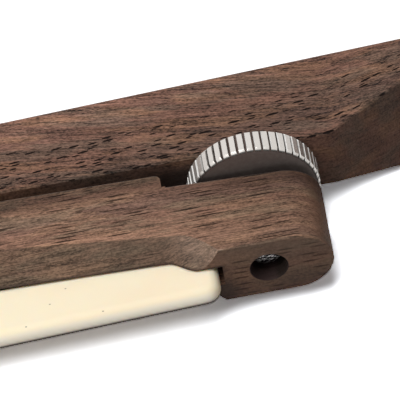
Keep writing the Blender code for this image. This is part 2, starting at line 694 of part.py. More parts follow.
spring_r = (SPRING_OD - SPRING_WIRE) / 2
spring_low = front_floor + seat_room + SPRING_SEAT_GAP + SPRING_WIRE / 2
spring_high = POCKET_DEPTH - seat_room - SPRING_SEAT_GAP - SPRING_WIRE / 2
spring_curve = bpy.data.curves.new("opening_spring", "CURVE")
spring_curve.dimensions = "3D"
spring_curve.bevel_depth = SPRING_WIRE / 2
spring_curve.bevel_resolution = 1
spring_curve.use_fill_caps = True
coil = spring_curve.splines.new("POLY")
coil_points = int(SPRING_TURNS * POINTS_PER_TURN) + 1
coil.points.add(coil_points - 1)
for i, point_on_coil in enumerate(coil.points):
    angle = 2 * math.pi * i / POINTS_PER_TURN
    height = (spring_high - spring_low) * i / (coil_points - 1)
    point_on_coil.co = (spring_r * math.cos(angle), spring_r * math.sin(angle), height, 1.0)
spring_mesh = solid_from_curve("opening_spring", spring_curve)
add("opening_spring", spring_mesh, (SPRING_X, spring_low, 0.0), STEEL, "Y")
coil_gap = (spring_high - spring_low) / SPRING_TURNS - SPRING_WIRE
print("opening_spring least gap to itself: %.2f mm" % (coil_gap / MM))
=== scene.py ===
import math

import bpy
from mathutils import Matrix, Vector


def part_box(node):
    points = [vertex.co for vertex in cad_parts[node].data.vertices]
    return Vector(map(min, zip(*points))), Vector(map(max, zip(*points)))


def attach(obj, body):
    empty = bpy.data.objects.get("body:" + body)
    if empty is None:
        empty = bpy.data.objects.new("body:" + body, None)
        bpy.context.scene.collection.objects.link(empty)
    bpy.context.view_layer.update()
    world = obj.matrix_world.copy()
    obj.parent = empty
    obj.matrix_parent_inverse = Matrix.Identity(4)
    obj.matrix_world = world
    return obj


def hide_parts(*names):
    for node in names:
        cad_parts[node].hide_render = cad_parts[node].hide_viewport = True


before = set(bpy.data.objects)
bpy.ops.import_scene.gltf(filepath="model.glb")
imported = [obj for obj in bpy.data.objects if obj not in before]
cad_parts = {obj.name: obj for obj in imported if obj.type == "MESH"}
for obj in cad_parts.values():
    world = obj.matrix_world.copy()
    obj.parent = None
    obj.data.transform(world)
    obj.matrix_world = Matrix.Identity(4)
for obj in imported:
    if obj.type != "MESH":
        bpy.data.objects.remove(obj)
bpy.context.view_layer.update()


# Rear arm: the long walnut board that carries the screw, the links and the handle tail.
# It is sawn to shape, its edges are broken by hand, and it is oiled without a filler, so
# the open pores of the wood stay visible as short dark dashes along the grain.
to_mm = 1000.0


class Tone:
    """One value in a finish. Sums and products of tones add the Math nodes they need."""

    def __init__(self, finish, socket):
        self.finish = finish
        self.socket = socket

    def worked(self, operation, *others):
        values = dict(enumerate((self, *others)))
        return self.finish.node("Math", {"operation": operation}, values)

    def __add__(self, other):
        return self.worked("ADD", other)

    __radd__ = __add__

    def __sub__(self, other):
        return self.worked("SUBTRACT", other)

    def __rsub__(self, other):
        return self * -1.0 + other

    def __mul__(self, other):
        return self.worked("MULTIPLY", other)

    __rmul__ = __mul__

    def __truediv__(self, other):
        return self.worked("DIVIDE", other)

    def __abs__(self):
        return self.worked("ABSOLUTE")

    def at_least(self, other):
        """The greater of two tones."""
        return self.worked("MAXIMUM", other)

    def rise(self, low, high):
        """0 below low, 1 above high and a smooth step between; a falling step if low > high."""
        limits = {"Value": self, "From Min": low, "From Max": high}
        return self.finish.node("MapRange", {"interpolation_type": "SMOOTHSTEP"}, limits)


class Finish:
    """The look of a material, or of the room: one shader, and the nodes that feed it."""

    def __init__(self, holder, shader="BsdfPrincipled", output="OutputMaterial"):
        holder.use_nodes = True
        self.holder = holder
        self.tree = holder.node_tree
        self.tree.nodes.clear()
        self.shader = self.node(shader, {}, {})
        self.node(output, {}, {"Surface": self.shader})

    def node(self, kind, settings, sockets, out=0):
        """Add a node: its settings first, then the values or links of its sockets."""
        made = self.tree.nodes.new("ShaderNode" + kind)
        for key, value in settings.items():
            if key == "stops":
                while len(made.color_ramp.elements) < len(value):
                    made.color_ramp.elements.new(0.5)
                for stop, (place, colour) in zip(made.color_ramp.elements, value):
                    stop.position = place
                    stop.color = (*colour, 1.0)
            else:
                setattr(made, key, value)
        self.fill(made, sockets)
        return Tone(self, made.outputs[out]) if made.outputs else None

    def fill(self, node, sockets):
        for key, value in sockets.items():
            if isinstance(value, Tone):
                self.tree.links.new(value.socket, node.inputs[key])
            else:
                node.inputs[key].default_value = value

    def shade(self, sockets):
        """Set the sockets of the shader itself."""
        self.fill(self.shader.socket.node, sockets)

    def place(self, scale=(1.0, 1.0, 1.0), turn=(0.0, 0.0, 0.0), shift=(0.0, 0.0, 0.0)):
        """Object coordinates in millimetres, turned, moved and then stretched by scale."""
        here = self.node("TexCoord", {}, {}, "Object")
        in_mm = {"Vector": here, "Scale": (to_mm,) * 3, "Rotation": turn, "Location": shift}
        moved = self.node("Mapping", {}, in_mm)
        return self.node("VectorMath", {"operation": "MULTIPLY"}, {0: moved, 1: scale})

    def axes(self, vector):
        """The X, Y and Z of a vector."""
        split = self.node("SeparateXYZ", {}, {0: vector}).socket.node
        return [Tone(self, part) for part in split.outputs]

    def spot(self):
        """Where a point of the surface lies along X, Y and Z, in millimetres."""
        return self.axes(self.place())

    def facing(self):
        """How far the surface faces along X, Y and Z, each from -1 to 1."""
        return self.axes(self.node("TexCoord", {}, {}, "Normal"))

    def around(self, x, z):
        """Millimetres from an axis along Y: those along X, those along Z and those straight out."""
        beside = self.place((1.0, 0.0, 1.0), shift=(-x, 0.0, -z))
        out = self.node("VectorMath", {"operation": "LENGTH"}, {0: beside}, "Value")
        along_x, _, along_z = self.axes(beside)
        return along_x, along_z, out

    def noise(self, where, detail=2.0, roughness=0.5, distortion=0.0):
        grit = {"Vector": where, "Scale": 1.0, "Detail": detail}
        grit.update({"Roughness": roughness, "Distortion": distortion})
        return self.node("TexNoise", {}, grit)

    def cells(self, where, reach="3D", out="Distance"):
        """Distance from the middle of the nearest cell."""
        sockets = {"Vector": where, "Scale": 1.0}
        return self.node("TexVoronoi", {"voronoi_dimensions": reach}, sockets, out)

    def chances(self, where, reach="3D"):
        """Two values that are drawn anew for each cell."""
        drawn = self.node("SeparateColor", {}, {0: self.cells(where, reach, "Color")}).socket.node
        return [Tone(self, drawn.outputs[part]) for part in ("Red", "Green")]

    def mix(self, share, first, second, blend="MIX"):
        """A share of the second colour over the first, on the colour sockets of a Mix node."""
        ways = {"data_type": "RGBA", "blend_type": blend}
        first, second = [c if isinstance(c, Tone) else (*c, 1.0) for c in (first, second)]
        return self.node("Mix", ways, {0: share, 6: first, 7: second}, 2)

    def tinted(self, colour, tints):
        """Lay tints over a colour one after the other, each by its own share."""
        for share, tint in tints:
            colour = self.mix(share, colour, tint)
        return colour

    def lit(self, colour, light):
        """A colour made lighter or darker."""
        return self.node("VectorMath", {"operation": "SCALE"}, {0: colour, "Scale": light})

    def bump(self, height, strength, depth):
        return self.node("Bump", {}, {"Height": height, "Strength": strength, "Distance": depth})


def walnut(name, tones, casts, *, figure_turn, fibre_turn, band, pore_band, pores, lines, contrast):
    """Oiled walnut with its grain along X: the finish, its colour, and where it is hollowed out.

    The tones run once through the growth rings, and a band is its first millimetre and its width
    across the board. The casts are the two colours that the board leans to in patches.
    """
    wood = Finish(bpy.data.materials.new(name))
    along = (0.0, 0.0, fibre_turn)
    end_on, lean, upright = wood.facing()
    level, up = wood.spot()[1:]

    # Growth rings, and patches of the two casts.
    ring_tilt, ring_drift = 0.35, 9.0
    drift = wood.noise(wood.place((0.014, 0.06, 0.06)))
    across = wood.axes(wood.place(turn=(0.0, 0.0, figure_turn)))[1]
    ring = across + up * ring_tilt + (drift - 0.5) * ring_drift
    turn_of_tone = ((ring - band[0]) / band[1]).worked("FRACT")
    board = wood.node("ValToRGB", {"stops": tones}, {0: turn_of_tone})
    cast_share = 0.6
    for cast, shift in zip(casts, ((0.0, 0.0, 0.0), (31.0, 17.0, 9.0))):
        patch = wood.noise(wood.place((0.055, 0.34, 0.15), along, shift), 3.0, 0.6)
        board = wood.mix(patch.rise(0.48, 0.62) * cast_share, board, cast)

    # How a face cuts the fibres: along the board's edge, in a hollow or across its end.
    edge_on = abs(lean).rise(0.87, 0.935)
    hollow = abs(upright).rise(0.93, 0.80) * (1 - edge_on)
    hollow = hollow * lean.rise(0.2, -0.2) * end_on.rise(0.25, 0.05)
    cross_cut = end_on.rise(0.45, 0.90).at_least(end_on.rise(-0.30, -0.80) * 0.3)
    depth = (1 - edge_on * 0.35) * (1 - cross_cut * 0.8) * contrast

    # Fibres, fine on every face, and the broader streaks that they lie in.
    streak_depth, broad_depth, grit_depth = 0.60, 0.38, 0.66
    edge_painted_shade, hollow_painted_shade = 0.17, (0.67, 0.72, 0.73)
    fibre = wood.noise(wood.place((0.18, 4.6, 1.0), (0.0, 0.02, fibre_turn)), 4.0, 0.62)
    side_fibre = wood.noise(wood.place((0.22, 1.0, 4.4), (0.0, fibre_turn * 0.3, 0.0)), 4.0, 0.66)
    streak = fibre.rise(0.34, 0.68) * (1 - edge_on) + side_fibre.rise(0.30, 0.70) * edge_on
    broad = wood.noise(wood.place((0.05, 0.8, 0.4), along), 3.0, 0.6).rise(0.3, 0.7)
    grit = wood.noise(wood.place((1.7, 5.5, 2.0), along), 2.0, 0.6).rise(0.3, 0.7)
    grain = (streak - 0.5) * streak_depth + (broad - 0.5) * broad_depth + (grit - 0.5) * grit_depth
    # The faces on the board's edge and in its hollows are painted darker, as painted shade.
    board = wood.lit(board, (1 + grain * depth) * (1 - edge_on * edge_painted_shade))
    board = wood.mix(hollow, board, hollow_painted_shade, "MULTIPLY")

    # Open pores in rows, long vessel lines, and the vessels that show on the board's edge.
    pore_dark, end_dark = (0.009, 0.005, 0.004), (0.02, 0.013, 0.010)
    row = ((level - pore_band[0]) * (2 * math.pi / pore_band[1])).worked("COSINE")
    zone = (row * 0.5 + wood.noise(wood.place((0.05, 0.16, 0.16)), 1.0)).rise(0.42, 0.58)
    pore_grid = wood.place((0.34, 1.7, 0.6), (0.0, 0.0, -0.11))
    chance, size = wood.chances(pore_grid)
    pore = (wood.cells(pore_grid) * (0.80 + size * 0.66)).rise(0.36, 0.30)
    pore = pore * chance.rise(0.40, 0.44) * zone * pores
    line_grid = wood.place((0.08, 1.35, 0.45), (0.0, 0.02, 0.0))
    drawn = wood.chances(line_grid, "2D")[0].rise(0.54, 0.57)
    vessel = wood.cells(line_grid, "2D").rise(0.22, 0.16) * drawn
    vessel = vessel * (1 - hollow * 0.6) * fibre.rise(0.64, 0.54)
    hair_grid = wood.place((0.10, 2.4, 0.8), (0.0, 0.02, 0.02), (5.0, 2.0, 3.0))
    hair = wood.cells(hair_grid, "2D").rise(0.16, 0.09)
    vessel = vessel.at_least(hair * 0.45) * lines
    side_grid = wood.place((0.15, 1.05, 0.4), (math.pi / 2, 0.0, 0.0), (2.0, 7.0, 1.0))
    side_drawn = wood.chances(side_grid, "2D")[0].rise(0.50, 0.54)
    side_vessel = wood.cells(side_grid, "2D").rise(0.32, 0.14) * side_drawn * edge_on * lines * 0.7
    open_grain = pore.at_least(vessel) * (1 - edge_on * 0.85) * (1 - cross_cut)
    open_grain = open_grain.at_least(side_vessel)
    speckle = wood.cells(wood.place((2.0, 2.0, 2.0))).rise(0.45, 0.2)
    end_speckle = end_on.rise(0.45, 0.9) * speckle * 0.45
    oiled = wood.tinted(board, ((open_grain, pore_dark), (end_speckle, end_dark)))

    wood.shade(
        {
            "Roughness": 0.52 + open_grain * 0.4 + streak * 0.10,
            "Specular IOR Level": 0.10,
            "Normal": wood.bump(streak * 0.3 - open_grain, 0.6, 0.00020),
        }
    )
    return wood, oiled, hollow


def pick(piece):
    """Select one piece and nothing else, for the operators that follow."""
    bpy.ops.object.select_all(action="DESELECT")
    piece.select_set(True)
    bpy.context.view_layer.objects.active = piece


def eased(piece, width, sides, keep_angle):
    """Round over the edges of the picked piece that turn by more than keep_angle."""
    edge = piece.modifiers.new("edge", "BEVEL")
    edge.width = width
    edge.segments = sides
    edge.limit_method = "ANGLE"
    edge.angle_limit = math.radians(keep_angle)
    bpy.ops.object.modifier_apply(modifier=edge.name)


def fitted(piece, node, body, finish):
    """Give a piece its finish, and let it stand for a CAD solid on that solid's body."""
    piece.data.materials.clear()
    piece.data.materials.append(finish.holder)
    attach(piece, body)
    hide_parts(node)


def dressed(node, body, finish, soften, keep_angle, sides=2, cuts=()):
    """A copy of a CAD solid with its edges rounded over, to be seen in the solid's place."""
    merge_within, flat_within = 0.000002, math.radians(0.3)
    piece = bpy.data.objects.new(node + "_piece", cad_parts[node].data.copy())
    bpy.context.scene.collection.objects.link(piece)
    pick(piece)
    bpy.ops.object.mode_set(mode="EDIT")
    bpy.ops.mesh.select_all(action="SELECT")
    bpy.ops.mesh.customdata_custom_splitnormals_clear()
    bpy.ops.mesh.remove_doubles(threshold=merge_within)
    bpy.ops.mesh.dissolve_limited(angle_limit=flat_within)
    bpy.ops.object.mode_set(mode="OBJECT")
    for tool in cuts:
        carved(piece, tool, "DIFFERENCE")
    if soften:
        eased(piece, soften, sides, keep_angle)
    bpy.ops.object.shade_smooth_by_angle(angle=math.radians(keep_angle))
    if cuts:
        smoothed(piece)
    flats = piece.modifiers.new("flats", "WEIGHTED_NORMAL")
    flats.keep_sharp = True
    bpy.ops.object.modifier_apply(modifier=flats.name)
    fitted(piece, node, body, finish)


rear_tones = [
    (0.00, (0.146, 0.076, 0.054)),
    (0.10, (0.114, 0.064, 0.048)),
    (0.30, (0.119, 0.068, 0.049)),
    (0.37, (0.165, 0.085, 0.060)),
    (0.58, (0.150, 0.077, 0.055)),
    (0.66, (0.102, 0.054, 0.040)),
    (0.75, (0.151, 0.077, 0.055)),
    (1.00, (0.146, 0.076, 0.054)),
]
rear_casts = [(0.196, 0.104, 0.062), (0.117, 0.079, 0.058)]
rear_walnut, rear_oiled, _ = walnut(
    "rear_walnut", rear_tones, rear_casts, figure_turn=-0.207, fibre_turn=0.17,
    band=(8.0, 30.0), pore_band=(8.5, 28.0), pores=1.0, lines=0.3, contrast=1.65,
)
rear_lean = rear_walnut.facing()[1]
rear_along, rear_back, rear_up = rear_walnut.spot()

# A paler band of growth runs slantwise along the top.
band_slope, band_tilt, band_wander = 0.163, 0.35, 4.0
wander = rear_walnut.noise(rear_walnut.place((0.05, 0.3, 0.3)), 3.0, 0.6) - 0.5
growth = rear_back - rear_along * band_slope + rear_up * band_tilt + wander * band_wander
pale_band = growth.rise(24.55, 27.35) * growth.rise(37.75, 34.75)
rear_oiled = rear_walnut.lit(rear_oiled, 0.96 + pale_band * 0.42)

# The face in the gap is painted darker as painted shade, most of all beside the wheel.
gap_painted_shade = (0.020, 0.013, 0.011)
gap_shade_share = 0.45 + rear_along.rise(-24.0, -8.0) * 0.45
in_gap = rear_lean.rise(-0.95, -0.99) * rear_along.rise(16.0, 10.0) * rear_up.rise(18.4, 15.0)
rear_walnut.shade({"Base Color": rear_walnut.mix(in_gap * gap_shade_share, rear_oiled, gap_painted_shade)})
dressed("rear_arm", "rear_arm", rear_walnut, soften=0.00012, keep_angle=24.0)


# Front arm: the shorter walnut board with the finger scoops, the lever slot and the round heel.
# It is cut from a plainer board, with long thin vessel lines in place of the short pores.
# The cove and its edge are painted lighter as a painted sheen and highlight, and the slot, the bore and
# the gap painted dark as painted shade.
front_tones = [
    (0.00, (0.225, 0.119, 0.079)),
    (0.22, (0.197, 0.112, 0.077)),
    (0.42, (0.230, 0.126, 0.083)),
    (0.60, (0.191, 0.102, 0.070)),
    (0.72, (0.157, 0.089, 0.065)),
    (0.86, (0.185, 0.100, 0.070)),
    (1.00, (0.225, 0.119, 0.079)),
]
front_casts = [(0.274, 0.155, 0.096), (0.173, 0.118, 0.078)]
front_walnut, front_oiled, scooped = walnut(
    "front_walnut", front_tones, front_casts, figure_turn=0.03, fibre_turn=0.02,
    band=(-16.0, 24.0), pore_band=(20.0, 80.0), pores=0.5, lines=0.85, contrast=1.25,
)
front_end_on, front_lean, front_upright = front_walnut.facing()
front_along, front_back, front_up = front_walnut.spot()

# The cove at the end of the scoop and the edge of the board's back, both painted lighter as a painted
# sheen and highlight.
painted_sheen_share = 0.55
cove_painted_sheen, arris_painted_highlight = (0.34, 0.265, 0.21), (0.45, 0.38, 0.35)
cove = front_along.rise(-13.0, -2.0) * front_along.rise(0.4, -0.7) * front_up.rise(12.0, 18.5)
cove = scooped * cove * painted_sheen_share
cove_turn = (0.0, 0.3, 0.25)
cove_grain = front_walnut.noise(front_walnut.place((0.5, 2.6, 2.6), cove_turn), 3.0, 0.65)
cove_painted_light = 1 + cove * (cove_grain.rise(0.32, 0.68) * 1.5 - 0.25)
front_oiled = front_walnut.lit(front_walnut.mix(cove * 0.45, front_oiled, cove_painted_sheen), cove_painted_light)
arris = front_lean.rise(0.30, 0.55) * front_lean.rise(0.97, 0.85)

# The bore in the heel with its mouth, and the slot with its end wall and its lips, all painted dark as
# painted shade.
bore_x, bore_z = 7.5, 12.3
bore_radius, mouth_radius = 3.5, 4.2
bore_painted_shade, slot_painted_shade = (0.045, 0.029, 0.027), (0.020, 0.014, 0.012)
by_slot_painted_shade, lip_painted_shade = (0.030, 0.020, 0.018), (0.030, 0.019, 0.015)
turned_in_painted_shade = (0.025, 0.017, 0.014)
bore_reach = front_walnut.around(bore_x, bore_z)[2]
bore_mouth = bore_reach.rise(mouth_radius + 0.1, mouth_radius) * front_back.rise(-17.7, -17.4)
in_bore = bore_reach.rise(bore_radius + 0.12, bore_radius + 0.02).at_least(bore_mouth)
slot_end = front_along.rise(-30.0, -25.0)
front_side = front_lean.rise(-0.6, -0.9)
by_slot = front_along.rise(3.5, -0.5) * front_up.rise(14.0, 10.0) * front_along.rise(-20.0, -10.0)
lip = front_up.rise(15.25, 14.85) * front_up.rise(12.0, 13.0) * front_lean.rise(-0.2, -0.5)
lip = lip * front_along.rise(0.0, -1.0) * front_along.rise(-56.0, -50.0)
turned_in = front_end_on.rise(-0.20, -0.50) * front_up.rise(12.0, 10.5)

# The board darkens towards the heel; its front face is painted darker towards the table and lighter along
# its top, as painted shade and light.
heel_dark, low_painted_shade, upper_painted_light = (0.060, 0.034, 0.028), (0.040, 0.024, 0.022), (0.165, 0.118, 0.088)
front_oiled = front_walnut.tinted(
    front_oiled,
    (
        (arris * painted_sheen_share, arris_painted_highlight),
        (in_bore, bore_painted_shade),
        (front_end_on.rise(-0.90, -0.97) * slot_end, slot_painted_shade),
        (front_along.rise(-6.0, 14.0) * 0.14, heel_dark),
        (front_up.rise(14.0, 6.0) * 0.42, low_painted_shade),
        (front_side * front_up.rise(11.0, 18.0) * 0.30, upper_painted_light),
        (front_side * by_slot * 0.6, by_slot_painted_shade),
        (lip * 0.8, lip_painted_shade),
    ),
)

# Painted shade beside the gap and the wheel, which follows the slant of the arm's back, and painted light
# on the top faces towards the jaws.
gap_slope, gap_start = 0.0226, -2.46
wheel_slope, wheel_start = 0.0467, 0.87
on_heel = front_along.rise(-9.6, -8.6)
from_gap = front_back + front_along * gap_slope + gap_start
from_wheel = front_back + front_along * wheel_slope + wheel_start
near_gap = from_gap.rise(-5.2, -2.4) * 0.52 * (1 - on_heel) * front_along.rise(-70.0, -45.0)
near_wheel = from_wheel.rise(-4.8, -1.0) * on_heel * (0.22 + front_along.rise(-8.0, 8.0) * 0.33)
painted_top_light = front_upright.rise(0.94, 0.98) * front_along.rise(-6.0, -16.0) * 0.15
front_oiled = front_walnut.lit(front_oiled, (1 - near_gap - near_wheel) * (1 + painted_top_light))
# Faces turned in under the slot's end are painted dark as painted shade.
front_walnut.shade({"Base Color": front_walnut.mix(turned_in * slot_end, front_oiled, turned_in_painted_shade)})


def carved(piece, tool, operation):
    """Cut a piece with a tool body, which is then thrown away."""
    pick(piece)
    cut = piece.modifiers.new("cut", "BOOLEAN")
    cut.object = tool
    cut.operation = operation
    cut.solver = "EXACT"
    bpy.ops.object.modifier_apply(modifier=cut.name)
    bpy.data.objects.remove(tool, do_unlink=True)


def smoothed(piece):
    """Let the hollowed faces of a piece run into each other without a crease."""
    flat_top, flat_side, heel_end = 0.85, 0.97, 0.1
    sides = {}
    for face in piece.data.polygons:
        for key in face.edge_keys:
            sides.setdefault(key, []).append(face.normal)
    for edge in piece.data.edges:
        beside = sides[edge.key]
        if all(abs(n.z) < flat_top and abs(n.y) < flat_side and n.x < heel_end for n in beside):
            edge.use_edge_sharp = False


def block(low, high):
    """A plain cutting block between two corners."""
    bpy.ops.object.select_all(action="DESELECT")
    middle = [(a + b) / 2 for a, b in zip(low, high)]
    size = [b - a for a, b in zip(low, high)]
    bpy.ops.mesh.primitive_cube_add(size=1.0, location=middle, scale=size)
    bpy.ops.object.transform_apply(location=True, rotation=True, scale=True)
    return bpy.context.object


# The corner of the step beside the wheel is rounded by a block with a round taken out of it.
step_round = 0.0012
step_wall, step_face, step_floor = -0.0091, 0.0026976, -0.0004454
past, overlap = 0.003, 0.00002
tool_low, tool_high = -0.01, 0.04
arm_low, arm_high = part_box("front_arm")
round_x, round_y = step_wall - step_round, step_face - step_round
shoulder = block((round_x, round_y, tool_low), (step_wall + past, step_face + past, tool_high))
bpy.ops.object.select_all(action="DESELECT")
bpy.ops.mesh.primitive_cylinder_add(
    vertices=64, radius=step_round, depth=0.06, location=(round_x, round_y, (arm_low[2] + arm_high[2]) / 2)
)
round_tool = bpy.context.object
bpy.ops.object.transform_apply(location=True, rotation=True, scale=True)
carved(shoulder, round_tool, "DIFFERENCE")
below_round = block((step_wall, step_floor, tool_low), (step_wall + past, round_y + overlap, tool_high))
front_cuts = (shoulder, below_round)
dressed("front_arm", "front_arm", front_walnut, soften=0.00008, keep_angle=34.0, cuts=front_cuts)


# Jaw linings: a facing of plain vegetable-tanned leather glued into the rabbet of each jaw.
# Each is cut from a 2.2 mm side, with its corners rounded and its edges burnished darker.
leather = Finish(bpy.data.materials.new("lining_leather"))
tan_dark, tan_pale = (0.36, 0.19, 0.090), (0.50, 0.29, 0.150)
crease_dark, burnish_dark = (0.22, 0.11, 0.050), (0.10, 0.045, 0.020)
hide = leather.noise(leather.place((0.12, 0.12, 0.12)), 3.0, 0.55)
pebble = leather.cells(leather.place((1.9, 1.9, 1.9), shift=(3.0, 1.0, 2.0)))
wrinkle = leather.noise(leather.place((0.55, 0.55, 0.9)), 4.0, 0.6, 0.6)
tanned = leather.mix(hide.rise(0.3, 0.7), tan_dark, tan_pale)
tanned = leather.mix(pebble.rise(0.30, 0.05) * 0.35, tanned, crease_dark)
burnish_from, burnish_full = 1.2, 0.2
rim_low, rim_high = [[to_mm * c for c in corner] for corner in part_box("rear_jaw_lining")]
hide_along, _, hide_up = leather.spot()
ends, sides = [
    at.rise(low + burnish_from, low + burnish_full) + at.rise(high - burnish_from, high - burnish_full)
    for at, low, high in ((hide_along, rim_low[0], rim_high[0]), (hide_up, rim_low[2], rim_high[2]))
]
burnish = ends.at_least(sides) * (0.55 + wrinkle * 0.4)
leather.shade(
    {
        "Base Color": leather.mix(burnish, tanned, burnish_dark),
        "Roughness": 0.68 - burnish * 0.28 + pebble * 0.12,
        "Specular IOR Level": 0.35,
        "Normal": leather.bump(pebble * 0.7 + wrinkle * 0.6, 0.6, 0.00012),
    }
)


def faced_out():
    """Turn the faces of the picked piece outwards."""
    bpy.ops.object.mode_set(mode="EDIT")
    bpy.ops.mesh.select_all(action="SELECT")
    bpy.ops.mesh.normals_make_consistent(inside=False)
    bpy.ops.object.mode_set(mode="OBJECT")


def jaw_facing(node, body, inward):
    """One lining: a fine grid pulled to a round-cornered sheet, then given its thickness."""
    corner_round, roll, roll_reach = 0.0012, 0.00012, 0.0015
    ripple, ripple_along, ripple_up, ripple_sway = 0.00002, 900, 500, 3
    low, high = [Vector(corner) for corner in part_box(node)]
    middle, half = (low + high) / 2, (high - low) / 2
    bpy.ops.object.select_all(action="DESELECT")
    bpy.ops.mesh.primitive_grid_add(x_subdivisions=60, y_subdivisions=40, size=2.0)
    piece = bpy.context.object
    piece.name = node + "_piece"
    for point in piece.data.vertices:
        spot = [point.co.x * half.x, point.co.y * half.z]
        past = [abs(spot[0]) - half.x + corner_round, abs(spot[1]) - half.z + corner_round]
        if min(past) > 0:
            pull = max(past) / math.hypot(*past)
            reach = [h - corner_round + p * pull for h, p in zip((half.x, half.z), past)]
            spot = [math.copysign(r, c) for r, c in zip(reach, spot)]
        edge = min(half.x - abs(spot[0]), half.z - abs(spot[1]))
        sway = ripple_sway * math.sin(ripple_up * spot[1])
        sunk = roll * max(1 - edge / roll_reach, 0.0) ** 2
        sunk += ripple * (math.sin(ripple_along * spot[0] + sway) + 1)
        point.co = (middle.x + spot[0], middle.y + inward * (half.y - sunk), middle.z + spot[1])
    hide_thickness = piece.modifiers.new("hide", "SOLIDIFY")
    hide_thickness.thickness = 2 * half.y
    hide_thickness.offset = inward
    bpy.ops.object.modifier_apply(modifier=hide_thickness.name)
    eased(piece, width=0.0003, sides=3, keep_angle=60.0)
    faced_out()
    bpy.ops.object.shade_smooth_by_angle(angle=math.radians(40.0))
    fitted(piece, node, body, leather)


jaw_facing("rear_jaw_lining", "rear_arm", -1)
jaw_facing("front_jaw_lining", "front_arm", 1)


# Heel screw: a bright M6 cap screw let into the back of the rear arm, its thread rolled along
# the whole shank. It carries the wheel and ends inside the hole of the front arm.
def bright_steel(name, grit, tone=1.0):
    """Turned and plated steel and its colour; its fine marks run along Y, the screw's axis."""
    steel = Finish(bpy.data.materials.new(name))
    dull, clean = [[tone * part for part in shade] for shade in ((0.66, 0.63, 0.60), (0.86, 0.83, 0.80))]
    scuff = steel.noise(steel.place((0.9, 0.35, 0.9)), 3.0, 0.6)
    brushed = steel.noise(steel.place((grit, 0.3, grit)), 2.0, 0.6)
    plated = steel.mix(scuff.rise(0.35, 0.75), dull, clean)
    steel.shade(
        {
            "Base Color": plated,
            "Metallic": 1.0,
            "Roughness": 0.24 + brushed * 0.14 + scuff * 0.10,
            "Normal": steel.bump(brushed, 0.25, 0.00004),
        }
    )
    return steel, plated


screw_low, screw_high = [Vector(corner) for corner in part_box("heel_screw")]
screw_x, screw_z = (screw_low.x + screw_high.x) / 2, (screw_low.z + screw_high.z) / 2
thread_root, thread_crest, thread_pitch = 0.00242, 0.00296, 0.001
head_height = 0.006
head_under = screw_high.y - head_height

# Oil lies in the root of the thread; the sawn end is painted dark as painted shade, with painted glints in
# spots.
oil_dark, end_painted_shade, painted_glint_white = (0.06, 0.05, 0.045), (0.02, 0.017, 0.018), (0.95, 0.93, 0.92)
screw_steel, screw_plated = bright_steel("screw_steel", 8.0, 0.9)
screw_reach = screw_steel.around(to_mm * screw_x, to_mm * screw_z)[2]
oil_line = screw_reach.rise(2.75, 2.50) * screw_reach.rise(2.30, 2.42)
screw_end = to_mm * screw_low.y
sawn_end = screw_steel.spot()[1].rise(screw_end + 0.12, screw_end + 0.04)
scratches = screw_steel.noise(screw_steel.place((2.2, 2.2, 2.2)), 3.0)
lathe_rings = (screw_reach * 13.0).worked("SINE") + scratches * 3.0
glint_spots = screw_steel.noise(screw_steel.place((1.3, 1.3, 2.6)), 3.0, 0.7).rise(0.50, 0.56)
end_painted_glints = screw_steel.mix(glint_spots, end_painted_shade, painted_glint_white)
screw_steel.shade(
    {
        "Base Color": screw_steel.tinted(screw_plated, ((oil_line, oil_dark), (sawn_end, end_painted_glints))),
        "Normal": screw_steel.bump(lathe_rings, 0.7, 0.00004),
    }
)

# The thread's outline is wound round the axis, and the ends of the winding are cut square.
bpy.ops.object.select_all(action="DESELECT")
bpy.ops.mesh.primitive_plane_add(size=0.002)
shank = bpy.context.object
shank.name = "heel_screw_piece"
outline = ((thread_root, 0.0), (thread_crest, 0.42), (thread_root, 1.0), (thread_crest, 0.58))
for point, (radius, rise) in zip(shank.data.vertices, outline):
    point.co = (radius, rise * thread_pitch, 0.0)
bpy.context.tool_settings.mesh_select_mode = (False, True, False)
bpy.ops.object.mode_set(mode="EDIT")
bpy.ops.mesh.select_all(action="SELECT")
bpy.ops.mesh.delete(type="ONLY_FACE")
bpy.ops.mesh.select_all(action="DESELECT")
bpy.ops.object.mode_set(mode="OBJECT")
for edge in shank.data.edges:
    edge.select = set(edge.vertices) == {0, 2}
bpy.ops.object.mode_set(mode="EDIT")
bpy.ops.mesh.delete(type="EDGE")
bpy.ops.object.mode_set(mode="OBJECT")
winding = shank.modifiers.new("winding", "SCREW")
winding.axis = "Y"
winding.screw_offset = thread_pitch
winding.iterations = int((head_under - screw_low.y) / thread_pitch) + 3
winding.steps = winding.render_steps = 28
bpy.ops.object.modifier_apply(modifier=winding.name)
lead_in, into_head = 1.4 * thread_pitch, 0.0005
bpy.ops.object.mode_set(mode="EDIT")
bpy.ops.mesh.select_all(action="SELECT")
bpy.ops.mesh.remove_doubles(threshold=0.000004)
bpy.ops.transform.translate(value=(screw_x, screw_low.y - lead_in, screw_z))
for cut_at, keep_above in ((screw_low.y, True), (head_under + into_head, False)):
    bpy.ops.mesh.select_all(action="SELECT")
    bpy.ops.mesh.bisect(
        plane_co=(0.0, cut_at, 0.0), plane_no=(0.0, 1.0, 0.0), use_fill=True,
        clear_inner=keep_above, clear_outer=not keep_above,
    )
bpy.ops.object.mode_set(mode="OBJECT")
faced_out()


def rod(sides, radius, start, end, chamfer):
    """A rod on the screw's axis from start to end in Y, its two ends chamfered."""
    along_screw = (-math.pi / 2, 0.0, 0.0)
    middle = (screw_x, (start + end) / 2, screw_z)
    bpy.ops.object.select_all(action="DESELECT")
    bpy.ops.mesh.primitive_cylinder_add(
        vertices=sides, radius=radius, depth=end - start, location=middle, rotation=along_screw
    )
    made = bpy.context.object
    bpy.ops.object.transform_apply(location=True, rotation=True, scale=True)
    if chamfer:
        eased(made, chamfer, sides=2, keep_angle=60.0)
    return made


